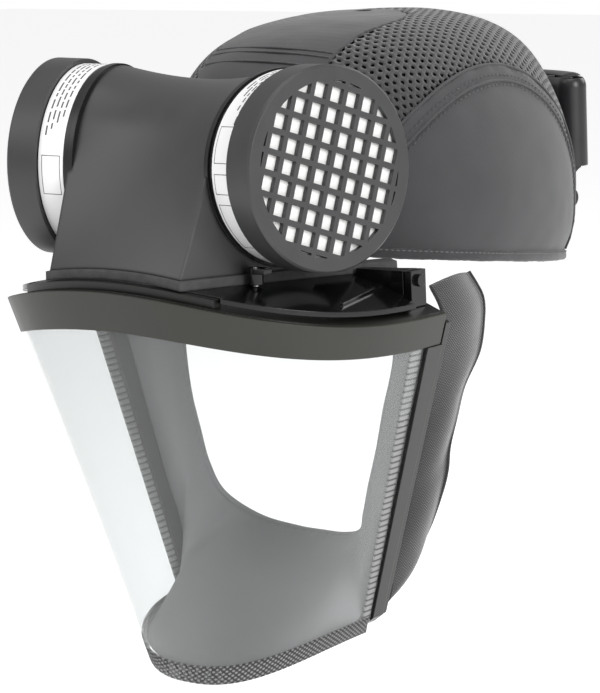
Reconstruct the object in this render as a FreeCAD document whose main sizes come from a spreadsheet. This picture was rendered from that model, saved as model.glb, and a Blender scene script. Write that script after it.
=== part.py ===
import FreeCAD, Part
import math
import os
import re

from FreeCAD import Placement, Rotation, Vector
import Sketcher

# Powered air respirator: a bump cap with a blower over the brow, two round filters
# on its ends, a visor hung below the peak, and a battery at the back of the cap.
# Frame: the origin is the centre of the cap's rim, the wearer faces -Y, +X is the
# wearer's left and +Z is up. Lengths are millimetres and angles are degrees.

doc = FreeCAD.newDocument("powered_air_respirator")

sizes = {
    # Cap
    "cap_half_width": 98, "cap_rear_reach": 129, "cap_front_limit": 109, "cap_height": 125,
    "cap_centre_y": -3, "rim_slope": 0.14, "cover_thick": 1.2, "shell_thick": 2.5,
    "binding_half": 2.5, "tongue_half": 39, "tongue_end": -30,
    "side_panel_y": 95, "side_panel_z": 98, "side_panel_centre": -8,
    # Filters, each in its own frame: z = 0 is the outer face and +z points outwards
    "filter_radius": 50, "filter_x": 89, "filter_y": -151, "filter_z": 61.5,
    "splay": 13, "upturn": 2, "cap_depth": 16.7, "grille_thick": 2.6, "cap_bore": 47.6,
    "grid_radius": 42.5, "grid_pitch": 10, "grid_bar": 2.7, "grid_turn": 19,
    "can_radius": 47.2, "can_top": 5.4, "can_bottom": 33.5, "can_wall": 1.8,
    "label_top": 17.2, "label_bottom": 31, "label_thick": 0.35,
    "neck_radius": 20, "neck_bore": 17, "neck_end": 43, "neck_fit": 0.06,
    "lug_radius": 22.5, "lug_width": 8, "lug_top": 39.5, "lug_bottom": 42.5,
    # Filter seats
    "seat_radius": 48.2, "seat_top": 33.8, "seat_back": 36.6, "lip_back": 39.2,
    "chamber_radius": 23.2, "socket_radius": 25.5, "socket_back": 47.6, "unlock_angle": 40,
    # Blower housing
    "facet_depth": 34.4, "housing_wall": 2.2, "housing_front": 211, "housing_split": -128,
    "waist_radius": 44, "collar_radius": 47.5, "collar_x": 54,
    "fan_y": -141, "fan_z": 59, "scroll_radius": 27, "scroll_wall": 1.6, "scroll_half": 15,
    "impeller_radius": 21, "impeller_width": 24, "blade_thick": 1, "blade_count": 20,
    "inlet_radius": 15, "shaft_radius": 1.5, "motor_radius": 9,
    # Brow: the peak, gasket, visor ledge and band share one arch about the Y direction
    "arch_radius": 288, "arch_top": 11.5, "peak_thick": 2.5, "gasket_high": 4.5,
    "brow_half": 110, "brow_front": 220, "brow_rear": 92, "brow_power": 2.7,
    # Visor
    "hem_half": 59, "hem_front": 168, "hem_rear": 90, "hem_power": 2.3, "hem_z": 202,
    "lens_thick": 1, "band_thick": 2.2, "brow_z": 7, "hem_rise": 18, "channel_angle": 0.095,
    "hinge_x": 98, "hinge_y": -101, "hinge_z": 1.5, "pin_radius": 3, "latch_x": 57, "latch_y": -172,
    # Battery
    "pack_outer": 80.5, "pack_inner": 63.5, "pack_centre": 74, "pack_low": 29, "pack_high": 81,
    "pack_half_angle": 34,
    "lead_x": -22, "lead_inset": 6.2, "lead_radius": 1.6, "lead_low": 22, "lead_high": 56,
}

sheet = doc.addObject("Spreadsheet::Sheet", "Sizes")
for row, (word, number) in enumerate(sizes.items(), 1):
    sheet.set(f"A{row}", word)
    sheet.set(f"B{row}", str(number))
    sheet.setAlias(f"B{row}", word)
doc.recompute()

pieces = {}


def size(word):
    return float(sheet.get(word))


def formula(text):
    """Turn plain words into references to the sheet."""
    return re.sub(r"[a-z_]{3,}", lambda word: f"Sizes.{word.group()}"
                  if word.group() in sizes else word.group(), str(text))


def numeric(text):
    """The value of a formula, worked out by a spare cell of the sheet."""
    sheet.set("D1", f"={text}")
    sheet.recompute()
    return float(sheet.get("D1"))


def bind(item, **formulas):
    for name, text in formulas.items():
        item.setExpression(name, formula(text))
    return item


def keep(label, item, place=None):
    """Name a finished sub-part, so that it is written out under that name."""
    item.Label = label
    if place:
        item.Placement = place
    pieces[label] = item
    return item


def cylinder(name, radius, high, base="0", place=None):
    """A cylinder on the Z axis from the height base, with its sizes bound to the sheet."""
    item = doc.addObject("Part::Cylinder", name)
    bind(item, Radius=radius, Height=high)
    item.setExpression("Placement.Base.z", formula(base))
    if place:
        item.Placement = place
    return item


def box(name, spans, place=None):
    """A box from three pairs of formulas: its low and high faces along X, Y and Z."""
    item = doc.addObject("Part::Box", name)
    for side, letter, (low, high) in zip(("Length", "Width", "Height"), "xyz", spans):
        item.setExpression(side, formula(f"({high}) - ({low})"))
        item.setExpression(f"Placement.Base.{letter}", formula(low))
    if place:
        item.Placement = place
    return item


def cut(name, base, *tools):
    tool = tools[0] if len(tools) == 1 else fuse(name + "_tools", *tools)
    item = doc.addObject("Part::Cut", name)
    item.Base, item.Tool = base, tool
    return item


def fuse(name, *items):
    item = doc.addObject("Part::MultiFuse", name)
    item.Shapes = list(items)
    return item


def moved(name, item, place):
    """An item put somewhere else as a whole, leaving its own bound sizes alone."""
    group = doc.addObject("Part::Compound", name)
    group.Links = [item]
    group.Placement = place
    return group


def common(name, first, second):
    item = doc.addObject("Part::Common", name)
    item.Base, item.Tool = first, second
    return item


def shaped(name, shape, place=None):
    """A feature whose shape is worked out here from the sheet's sizes."""
    item = doc.addObject("Part::Feature", name)
    item.Shape = shape
    if place:
        item.Placement = place
    return item


def mirrored(label, source):
    """The wearer's right-hand twin of a left-hand piece."""
    item = doc.addObject("Part::Mirroring", label)
    item.Source, item.Normal, item.Base = source, Vector(1, 0, 0), Vector(0, 0, 0)
    return keep(label, item)


def pair(label, item, place=None):
    """Keep a left-hand piece and make its right-hand twin."""
    keep(label + "_left", item, place)
    return mirrored(label + "_right", item)


def new_sketch(body, role, points):
    """A closed outline on one of the body's own planes; points are pairs of formulas."""
    sketch = body.newObject("Sketcher::SketchObject", body.Name + "_sketch")
    plane = next(item for item in body.Origin.OriginFeatures if item.Role == role)
    sketch.AttachmentSupport, sketch.MapMode = [(plane, "")], "FlatFace"
    corners = [Vector(*(numeric(part) for part in point), 0) for point in points]
    for start, end in zip(corners, corners[1:] + corners[:1]):
        sketch.addGeometry(Part.LineSegment(start, end))
    count = len(points)
    for line in range(count):
        sketch.addConstraint(Sketcher.Constraint("Coincident", line, 2, (line + 1) % count, 1))
    for line, point in enumerate(points):
        for kind, axis, text in zip(("DistanceX", "DistanceY"), (-2, -1), point):
            if numeric(text) == 0:
                sketch.addConstraint(Sketcher.Constraint("PointOnObject", line, 1, axis))
                continue
            number = sketch.addConstraint(
                Sketcher.Constraint(kind, -1, 1, line, 1, numeric(text)))
            sketch.setExpression(f"Constraints[{number}]", formula(text))
    return sketch


def turned(name, points):
    """A PartDesign body turned about Z from an outline of (radius, height) formulas."""
    body = doc.addObject("PartDesign::Body", name)
    sketch = new_sketch(body, "XZ_Plane", points)
    turn = body.newObject("PartDesign::Revolution", name + "_turn")
    turn.Profile = sketch
    turn.ReferenceAxis = (sketch, ["V_Axis"])
    turn.Angle = 360
    return body


def padded(name, role, points, length, middle=False):
    """A PartDesign body padded from one outline."""
    body = doc.addObject("PartDesign::Body", name)
    sketch = new_sketch(body, role, points)
    pad = body.newObject("PartDesign::Pad", name + "_pad")
    pad.Profile = sketch
    pad.setExpression("Length", formula(length))
    pad.Midplane = middle
    return body


# Common shapes


def closed_curve(points):
    """A smooth closed wire through the points."""
    curve = Part.BSplineCurve()
    curve.interpolate(Points=points, PeriodicFlag=True)
    return Part.Wire([curve.toShape()])


def open_curve(points):
    curve = Part.BSplineCurve()
    curve.interpolate(Points=points)
    return curve.toShape()


# Each level of the cap: its share of the plan, its share of the height, its forward shift
cap_levels = [(0.95, 0.0, 0), (0.985, 0.1, 1), (1.0, 0.22, 1), (0.99, 0.4, 3),
              (0.93, 0.6, 4), (0.80, 0.8, 4), (0.62, 0.92, 3), (0.37, 0.985, 2), (0.04, 1.0, 0)]


def cap_ring(share, level, shift, inset=0, lift=0, samples=48):
    """One level of the cap: an oval that is shallower towards the blower."""
    points = []
    front = min(size("cap_rear_reach") * share - shift,
                size("cap_front_limit") + size("cap_centre_y"))
    for step in range(samples):
        angle = 2 * math.pi * step / samples
        reach = size("cap_rear_reach") * share + shift if math.sin(angle) > 0 else front
        x = (size("cap_half_width") * share - inset) * math.cos(angle)
        y = size("cap_centre_y") + (reach - inset) * math.sin(angle)
        z = (size("cap_height") - inset) * level - size("rim_slope") * (y + 8) * (1 - level)
        points.append(Vector(x, y, z + lift))
    return closed_curve(points)


def cap_form(inset, lift=0):
    """The cap as a solid dome, drawn in by an inset, with its rim moved by a lift."""
    rings = [cap_ring(share, level, shift, inset, lift if level == 0 else 0)
             for share, level, shift in cap_levels if size("cap_half_width") * share > inset + 2]
    return Part.makeLoft(rings, True, False)


def arch_slab(low, high):
    """The space between two heights over the brow's arch, measured at its middle."""
    centre = Vector(0, -400, size("arch_top") - size("arch_radius"))
    outer = Part.makeCylinder(size("arch_radius") + high, 500, centre, Vector(0, 1, 0))
    inner = Part.makeCylinder(size("arch_radius") + low, 500, centre, Vector(0, 1, 0))
    return outer.cut(inner)


def oval_point(half, front, rear, power, angle):
    """A point on a squared-off half oval that is open towards the back."""
    across, ahead = math.cos(angle), math.sin(angle)
    reach = (abs(across) ** power + abs(ahead) ** power) ** (-1 / power)
    return half * across * reach, -rear - (front - rear) * ahead * reach


def brow_outline(inset, samples=40):
    """The brow's plan curve, drawn in by an inset, from one temple round to the other."""
    return [Vector(*oval_point(size("brow_half") - inset, size("brow_front") - inset,
                               size("brow_rear"), size("brow_power"), math.pi * step / samples), 0)
            for step in range(samples + 1)]


def plan_prism(points, low=-120, high=120):
    """A vertical prism over a plan outline whose first points lie on a smooth curve."""
    curve = open_curve([Vector(point.x, point.y, low) for point in points])
    back = Part.makeLine(Vector(points[-1].x, points[-1].y, low), Vector(points[0].x, points[0].y, low))
    return Part.Face(Part.Wire([curve, back])).extrude(Vector(0, 0, high - low))


# Filters, built in the filter's own frame

splay, upturn = math.radians(size("splay")), math.radians(size("upturn"))
outward = Vector(math.cos(splay) * math.cos(upturn), -math.sin(splay) * math.cos(upturn), math.sin(upturn))
level_way = Vector(0, 0, 1).cross(outward).normalize()
filter_place = Placement(Vector(size("filter_x"), size("filter_y"), size("filter_z")),
                         Rotation(level_way, outward.cross(level_way), outward, "ZXY"))


def make_filter_cap():
    """The outer cap: a skirt, and a flat face cut into a square grid."""
    ring = turned("cap_ring", [
        ("grid_radius", "0"), ("grid_radius", "-grille_thick"), ("cap_bore", "-grille_thick"),
        ("cap_bore", "-cap_depth"), ("filter_radius", "-cap_depth"), ("filter_radius", "-1.2"),
        ("filter_radius - 1.2", "0")])
    bars = []
    for number in range(-4, 5):
        offset = f"{number} * grid_pitch"
        across = (f"{offset} - grid_bar / 2", f"{offset} + grid_bar / 2")
        along = ("-grid_radius - 1", "grid_radius + 1")
        depth = ("-grille_thick", "0")
        bars.append(box(f"bar_x{number}", (across, along, depth)))
        bars.append(box(f"bar_y{number}", (along, across, depth)))
    grid = fuse("grid", *bars)
    turn = Placement(Vector(), Rotation(Vector(0, 0, 1), -size("grid_turn")))
    grid.Placement = turn
    clip = cylinder("grid_clip", "grid_radius + 0.5", "grille_thick", "-grille_thick")
    pair("filter_cap", fuse("filter_cap", ring, common("grid_disc", grid, clip)), filter_place)


def make_filter_body():
    """The filter's can, open at the top, with a bayonet neck below."""
    can = turned("can", [
        ("can_radius", "-can_top"), ("can_radius", "-can_bottom"), ("neck_radius", "-can_bottom"),
        ("neck_radius", "-neck_end"), ("neck_bore", "-neck_end"), ("neck_bore", "-can_bottom + can_wall"),
        ("can_radius - can_wall", "-can_bottom + can_wall"), ("can_radius - can_wall", "-can_top")])
    lugs = common("lugs", bayonet_bars("lug", "lug_width", "lug_radius + 1"),
                  cylinder("lug_clip", "lug_radius", "lug_bottom - lug_top", "-lug_bottom"))
    pair("filter_body", fuse("filter_body", can, lugs), filter_place)


def bayonet_bars(name, width, reach):
    """Three bars standing out from the neck, a third of a turn apart."""
    bars = []
    for number in range(3):
        bar = box(f"{name}{number}", (("neck_radius - 1", reach), (f"-{width} / 2", f"{width} / 2"),
                                      ("-lug_bottom", "-lug_top")))
        turn = Placement(Vector(), Rotation(Vector(0, 0, 1), 120 * number))
        bars.append(moved(f"{name}_arm{number}", bar, turn))
    return fuse(f"{name}_set", *bars)


def make_filter_inside():
    """The label round the can, the pleated paper, the prefilter pad and the seat gasket."""
    label = turned("label", [
        ("can_radius", "-label_top"), ("can_radius", "-label_bottom"),
        ("can_radius + label_thick", "-label_bottom"), ("can_radius + label_thick", "-label_top")])
    pair("filter_label", label, filter_place)
    pad = cylinder("prefilter_pad", "can_radius", "can_top - grille_thick - 0.4", "-can_top")
    pair("prefilter", moved("prefilter", pad, filter_place))
    gasket = turned("seat_gasket", [("28", "-can_bottom"), ("28", "-can_bottom - 0.8"),
                                    ("34", "-can_bottom - 0.8"), ("34", "-can_bottom")])
    pair("filter_gasket", gasket, filter_place)
    radius, high, low, paper, pitch = size("can_radius") - size("can_wall") - 0.3, -8, -30, 0.9, 3.2
    count = int(2 * radius / pitch)
    upper = [Vector((step - count) * pitch / 2, 0, high if step % 2 else low + paper * 2)
             for step in range(2 * count + 1)]
    lower = [Vector(point.x, 0, point.z - paper * 2) for point in reversed(upper)]
    sheet_face = Part.Face(Part.makePolygon(upper + lower + upper[:1]))
    sheet_face.translate(Vector(0, -radius - 2, 0))
    pleats = sheet_face.extrude(Vector(0, 2 * radius + 4, 0))
    barrel = Part.makeCylinder(radius, 40, Vector(0, 0, low - 5))
    pair("filter_media", shaped("pleats", pleats.common(barrel)), filter_place)


def make_seats():
    """Each end of the blower: a flange, and a socket whose lip holds the filter's lugs."""
    seat = turned("seat", [
        ("neck_radius + neck_fit", "-seat_top"), ("neck_radius + neck_fit", "-lip_back"),
        ("chamber_radius", "-lip_back"), ("chamber_radius", "-socket_back + 1.6"),
        ("neck_bore", "-socket_back + 1.6"), ("neck_bore", "-socket_back"),
        ("socket_radius", "-socket_back"), ("socket_radius", "-seat_back"),
        ("seat_radius", "-seat_back"), ("seat_radius", "-seat_top"), ("34.5", "-seat_top"),
        ("34.5", "-seat_top - 0.9"), ("27.5", "-seat_top - 0.9"), ("27.5", "-seat_top")])
    pair("filter_seat", cut("filter_seat", seat, entry_slots()), filter_place)


def entry_slots():
    """The lip's three entry slots, which the lugs meet when the filter is turned back."""
    bars = []
    for number in range(3):
        bar = box(f"entry{number}", (("neck_radius - 2", "chamber_radius"),
                                     ("-lug_width / 2 - 0.75", "lug_width / 2 + 0.75"),
                                     ("-lip_back - 0.5", "-seat_top + 1")))
        turn = Placement(Vector(), Rotation(Vector(0, 0, 1), 120 * number + size("unlock_angle")))
        bars.append(moved(f"entry_arm{number}", bar, turn))
    return fuse("entries", *bars)


# Blower housing


def housing_profile(x, inset, drop):
    """The housing's outline at one x: a straight sloping front that runs up onto a round barrel."""
    share = (x / size("collar_x")) ** 2
    radius = size("waist_radius") + (size("collar_radius") - size("waist_radius")) * share - inset
    centre = Vector(x, -136 - 7 * share, 57 + 3.2 * share)
    floor = size("arch_top") + size("gasket_high") - x * x / (2 * size("arch_radius")) - drop
    front = Vector(x, -size("housing_front") + 1.3 * share + inset * 1.2, floor)
    away = front - centre
    spread = math.acos(radius / away.Length)
    toward = math.atan2(away.z, away.y)
    touch = centre + Vector(0, math.cos(toward - spread), math.sin(toward - spread)) * radius
    back = centre + Vector(0, radius, 0)
    over = (math.atan2(touch.z - centre.z, touch.y - centre.y)) / 2
    top = centre + Vector(0, math.cos(over), math.sin(over)) * radius
    corner = Vector(x, back.y, floor)
    return Part.Wire([Part.makeLine(front, touch), Part.Arc(touch, top, back).toShape(),
                      Part.makeLine(back, corner), Part.makeLine(corner, front)])


def housing_form(inset, drop=0):
    """The housing as a solid, cut square to each filter's axis at its ends."""
    shape = Part.makeLoft([housing_profile(x, inset, drop) for x in (-64, -43, -21, 0, 21, 43, 64)], True, False)
    beyond = Part.makeBox(300, 300, 200, Vector(-150, -150, -size("facet_depth") - inset))
    beyond.Placement = filter_place.multiply(beyond.Placement)
    return shape.cut(beyond).cut(beyond.mirror(Vector(), Vector(1, 0, 0)))


def seat_hole(radius, deep):
    """A hole through both ends of the housing, on the filters' axes."""
    hole = Part.makeCylinder(radius, deep, Vector(0, 0, -size("facet_depth") - 4))
    hole.Placement = filter_place.multiply(hole.Placement)
    return hole.fuse(hole.mirror(Vector(), Vector(1, 0, 0)))


def make_housing():
    """The blower's shell in two covers, and the rubber gasket under it."""
    outside = housing_form(0)
    flange = Part.makeCylinder(size("seat_radius") + 0.1, 30, Vector(0, 0, -size("seat_back")))
    flange.Placement = filter_place.multiply(flange.Placement)
    recess = flange.fuse(flange.mirror(Vector(), Vector(1, 0, 0)))
    shell = outside.cut(housing_form(size("housing_wall"), 3)).cut(recess)
    shell = shell.cut(seat_hole(size("socket_radius") + 0.2, 60)).cut(cap_form(-3.4, -6))
    shell = shell.cut(lead_passages())
    split = size("housing_split")
    front_space = Part.makeBox(300, 300, 300, Vector(-150, split - 300, -100))
    back_space = Part.makeBox(300, 300, 300, Vector(-150, split + 0.15, -100))
    keep("blower_front_cover", shaped("blower_front_cover", biggest(shell.common(front_space))))
    keep("blower_rear_cover", shaped("blower_rear_cover", biggest(shell.common(back_space))))
    base = housing_foot(1.6).cut(housing_foot(-3.2)).common(arch_slab(0, size("gasket_high") - 0.02))
    base = base.common(Part.makeBox(300, 300, 300, Vector(-150, -380, -150)))
    keep("base_gasket", shaped("base_gasket", biggest(base.cut(cap_form(-3.4, -8)))))


def biggest(shape):
    """The largest solid of a shape."""
    return max(shape.Solids, key=lambda solid: solid.Volume)


def housing_foot(outset):
    """A prism over the housing's footprint, grown outwards by an outset."""
    front = -size("housing_front") - outset
    edge = [Vector(x, front + 1.3 * (x / size("collar_x")) ** 2, -20) for x in (-75, -50, -25, 0, 25, 50, 75)]
    back = [Vector(75, -70, -20), Vector(-75, -70, -20)]
    curve = open_curve(edge)
    lines = [Part.makeLine(edge[-1], back[0]), Part.makeLine(back[0], back[1]), Part.makeLine(back[1], edge[0])]
    prism = Part.Face(Part.Wire([curve] + lines)).extrude(Vector(0, 0, 60))
    beyond = Part.makeBox(300, 300, 200, Vector(-150, -150, -size("facet_depth") + outset))
    beyond.Placement = filter_place.multiply(beyond.Placement)
    return prism.cut(beyond).cut(beyond.mirror(Vector(), Vector(1, 0, 0)))


# Fan, motor and electronics inside the housing

fan_place = Placement(Vector(0, size("fan_y"), size("fan_z")), Rotation(Vector(0, 1, 0), 90))


def make_fan():
    """A wheel with blades on both sides of a disc, in a casing that blows down to the visor."""
    hub = turned("hub", [
        ("shaft_radius", "-impeller_width / 2"), ("5", "-impeller_width / 2"), ("5", "-0.8"),
        ("impeller_radius", "-0.8"), ("impeller_radius", "0.8"), ("5", "0.8"), ("5", "4"), ("shaft_radius", "4")])
    blade = padded("blades", "XY_Plane", [
        ("impeller_radius - 6", "0"), ("impeller_radius", "2.4"),
        ("impeller_radius - 0.1", "2.4 + blade_thick"), ("impeller_radius - 6", "blade_thick")],
        "impeller_width", True)
    turn = blade.newObject("PartDesign::PolarPattern", "blade_turns")
    turn.Originals = [blade.Tip]
    turn.Axis = (blade.Tip.Profile[0], ["N_Axis"])
    turn.Angle = 360
    turn.setExpression("Occurrences", formula("blade_count"))
    blade.Tip = turn
    keep("impeller", fuse("impeller", hub, blade), fan_place)
    shaft = cylinder("shaft", "shaft_radius", "impeller_width / 2 + 16", "-impeller_width / 2")
    keep("motor_shaft", moved("motor_shaft", shaft, fan_place))
    motor = turned("motor", [
        ("shaft_radius + 0.05", "5"), ("motor_radius", "5"), ("motor_radius", "18"),
        ("4", "18"), ("4", "27"), ("shaft_radius + 0.05", "27")])
    keep("motor_can", motor, fan_place)
    bracket = turned("bracket_hub", [("4.05", "scroll_half + 3.2"), ("8", "scroll_half + 3.2"),
                                     ("8", "scroll_half + 6"), ("4.05", "scroll_half + 6")])
    arms = [box(f"bracket_arm{number}", spans) for number, spans in enumerate((
        (("-2", "2"), ("6", "scroll_radius - 2"), ("scroll_half + 3.2", "scroll_half + 5.2")),
        (("-2", "2"), ("-scroll_radius + 2", "-6"), ("scroll_half + 3.2", "scroll_half + 5.2")),
        (("-2", "2"), ("scroll_radius - 6", "scroll_radius - 2"), ("scroll_half", "scroll_half + 4")),
        (("-2", "2"), ("-scroll_radius + 2", "-scroll_radius + 6"), ("scroll_half", "scroll_half + 4"))))]
    keep("motor_bracket", fuse("motor_bracket", bracket, *arms), fan_place)
    outer = cylinder("scroll_outer", "scroll_radius", "scroll_half * 2", "-scroll_half")
    inner = cylinder("scroll_inner", "scroll_radius - scroll_wall",
                     "(scroll_half - scroll_wall) * 2", "-scroll_half + scroll_wall")
    inlet = cylinder("scroll_inlet", "inlet_radius", "scroll_half * 4", "-scroll_half * 2")
    spout = box("spout", (("0", "38"), ("-scroll_radius", "-4"), ("-scroll_half", "scroll_half")))
    bore = box("spout_bore", (("0", "40"), ("-scroll_radius + scroll_wall", "-4 - scroll_wall"),
                              ("-scroll_half + scroll_wall", "scroll_half - scroll_wall")))
    casing = cut("fan_scroll", fuse("scroll_mass", outer, spout), inner, inlet, bore)
    keep("fan_scroll", casing, fan_place)


def make_electronics():
    """The control board behind the sloping front, with its warning sounder."""
    board = box("board", (("-26", "20"), ("0", "1.6"), ("0", "24")))
    keep("control_board", moved("control_board", board, Placement(Vector(0, -183, 25), Rotation())))
    sounder = cylinder("sounder", "6", "5")
    facing = Placement(Vector(0, -181.4, 37), Rotation(Vector(1, 0, 0), -90))
    keep("warning_sounder", moved("warning_sounder", sounder, facing))


# Cap


def lead_passages():
    """The two holes that let the lead in at the back of the cap and out into the blower."""
    x, radius = size("lead_x"), 3.4 * size("lead_radius")
    back = Part.makeCylinder(radius, 46, Vector(x, 90, size("lead_low")), Vector(0, 1, 0))
    return back.fuse(Part.makeCylinder(radius, 38, Vector(x, -130, size("lead_high")), Vector(0, 1, 0)))


def make_cap():
    """The hard shell, the cloth cover in its four panels, the binding and the linings."""
    thick, hard = size("cover_thick"), size("shell_thick")
    low = size("binding_half") + 0.05
    shell = cap_form(thick + 0.4, low).cut(cap_form(thick + hard, -6))
    lead_holes = lead_passages()
    cover = cap_form(0, low).cut(cap_form(thick, -6)).cut(lead_holes)
    keep("cap_shell", shaped("cap_shell", biggest(shell.cut(lead_holes))))
    half = size("tongue_half")
    tongue = Part.makeBox(2 * half, 200, 300, Vector(-half, size("tongue_end") - 200, -50)).fuse(
        Part.makeCylinder(half, 300, Vector(0, size("tongue_end"), -50)))
    oval = Part.Ellipse(Vector(), size("side_panel_z"), size("side_panel_y")).toShape()
    side = Part.Face(Part.Wire([oval])).extrude(Vector(0, 0, 120))
    side.Placement = Placement(Vector(0, size("side_panel_centre"), 0), Rotation(
        Vector(0, 0, 1), Vector(0, 1, 0), Vector(1, 0, 0), "ZXY"))
    sides = side.cut(tongue)
    keep("cover_tongue", shaped("cover_tongue", biggest(cover.common(tongue))))
    panel = shaped("cover_side", biggest(cover.common(sides)))
    pair("cover_side", panel)
    both = sides.fuse(sides.mirror(Vector(), Vector(1, 0, 0)))
    keep("cover_mesh", shaped("cover_mesh", biggest(cover.cut(tongue).cut(both))))
    binding = rim_band(-1.0, 4.2, -size("binding_half"), size("binding_half"))
    keep("rim_binding", shaped("rim_binding", binding))
    keep("headband", shaped("headband", rim_band(8, 9.5, 5, 34)))
    keep("sweatband", shaped("sweatband", rim_band(9.6, 13, 6, 33)))
    pad = cap_form(5, 0).cut(cap_form(14, -20)).common(
        Part.makeBox(300, 300, 100, Vector(-150, -150, 88)))
    groove = cap_form(3, 0).cut(cap_form(11, -20)).common(
        Part.makeBox(6, 300, 100, Vector(size("lead_x") - 3, -150, 80)))
    keep("crown_pad", shaped("crown_pad", biggest(pad.cut(groove))))


def rim_band(outside, inside, low, high):
    """A band that follows the rim, between two insets and two heights."""
    share, level, shift = cap_levels[0]

    def block(inset, bottom, top):
        return Part.makeLoft([cap_ring(share, level, shift, inset, bottom),
                              cap_ring(share, level, shift, inset, top)], True, True)

    return biggest(block(outside, low, high).cut(block(inside, low - 1, high + 1)))


# Brow and visor


def visor_point(angle, drop, out):
    """A point of the visor's wall: an angle round the brow, a share of the drop, a standoff."""
    top = oval_point(size("brow_half") + out, size("brow_front") + out, size("brow_rear"),
                     size("brow_power"), angle)
    hem = oval_point(size("hem_half") + out, size("hem_front") + out, size("hem_rear"),
                     size("hem_power"), angle)
    top_z = size("brow_z") - top[0] ** 2 / (2 * size("arch_radius"))
    hem_z = -size("hem_z") + size("hem_rise") * abs(hem[0] / size("hem_half")) ** 2.5
    return Vector(*top, top_z) * (1 - drop) + Vector(*hem, hem_z) * drop


def visor_wall(start, end, first, last, inside, outside, samples=40):
    """A piece of the visor's wall as a closed solid of ruled faces."""
    def rail(drop, out):
        return open_curve([visor_point(start + (end - start) * step / samples, drop, out)
                           for step in range(samples + 1)])

    return ruled_box([rail(first, outside), rail(last, outside), rail(last, inside), rail(first, inside)])


def ruled_box(rails):
    """A closed solid whose four long faces are ruled between neighbouring rails."""
    faces = [Part.makeRuledSurface(a, b) for a, b in zip(rails, rails[1:] + rails[:1])]
    for end in (0, 1):
        corners = [rail.valueAt(rail.ParameterRange[end]) for rail in rails]
        faces.append(Part.makeRuledSurface(Part.makeLine(corners[0], corners[1]),
                                           Part.makeLine(corners[3], corners[2])))
    shell = Part.Shell([face for item in faces for face in item.Faces])
    shell.sewShape()
    solid = Part.Solid(shell)
    if solid.Volume < 0:
        solid.reverse()
    return solid


def channel_end(drop):
    """The outline of a side channel's closed back at one share of the drop."""
    low, high = -2.2, size("lens_thick") + 2.4
    points = [visor_point(0, drop, out) + Vector(0, back, 0)
              for out, back in ((high, -0.6), (high, 3), (low, 3), (low, -0.6))]
    return Part.makePolygon(points + points[:1])


def make_visor():
    """The lens, the band over its top edge, and the strips and channels along its other edges."""
    thick, band, edge = size("lens_thick"), size("band_thick"), size("channel_angle")
    keep("lens", shaped("lens", visor_wall(0.006, math.pi - 0.006, 0.004, 1.0, 0, thick)))
    wrap = visor_wall(0.013, math.pi - 0.013, 0.0, 0.095, thick + 0.05, thick + band)
    keep("brow_band", shaped("brow_band", wrap))
    outer = visor_wall(0, edge, 0.0965, 0.965, thick + 0.05, thick + 2.6, 8)
    inner = visor_wall(0, edge, 0.03, 0.965, -2.4, -0.05, 8)
    heel = Part.makeLoft([channel_end(drop) for drop in (0.03, 0.96)], True, True)
    pair("side_channel", shaped("channel", heel.multiFuse([outer, inner])))
    pair("side_strip", shaped("strip", visor_wall(edge + 0.01, edge + 0.075, 0.1, 0.94, -1.3, -0.05, 8)))
    hem = visor_wall(edge + 0.01, math.pi - edge - 0.01, 0.945, 0.992, -1.3, -0.05)
    keep("hem_strip", shaped("hem_strip", hem))
    ledge = plan_prism(brow_outline(0.8)).cut(plan_prism(brow_outline(17))).common(arch_slab(-6.5, -4.5))
    keep("visor_frame", shaped("visor_frame", biggest(ledge)))
    bar = plan_prism(brow_outline(2)).cut(plan_prism(brow_outline(6.5))).common(arch_slab(-4.48, -0.5))
    middle = Part.makeBox(120, 200, 200, Vector(-60, -300, -100))
    keep("clip_bar", shaped("clip_bar", biggest(bar.common(middle))))


def side_loop(points):
    """A smooth curve down one side, under the chin and up the other side."""
    across = [Vector(-point.x, point.y, point.z) for point in reversed(points[:-1])]
    return open_curve(points + across)


def backwards(point):
    """Where the lining's rear face lies behind a point of its front face."""
    return point + Vector(0, 2, 0)


def outwards(point):
    """Where the cape's outer face lies: beside a point at the sides, below it under the chin."""
    share = min(abs(point.x) / 50, 1)
    return point + Vector(math.copysign(2 * share, point.x), 0, -2 * (1 - share) - 0.2)


def soft_skirt(front, back, other_face):
    """A soft panel between two loops, with its second face where a rule puts each point."""
    sections = []
    for near, far in zip(side_loop(front).discretize(41), side_loop(back).discretize(41)):
        corners = [near, far, other_face(far), other_face(near)]
        sections.append(Part.makePolygon(corners + corners[:1]))
    return Part.makeLoft(sections, True, False)


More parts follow.
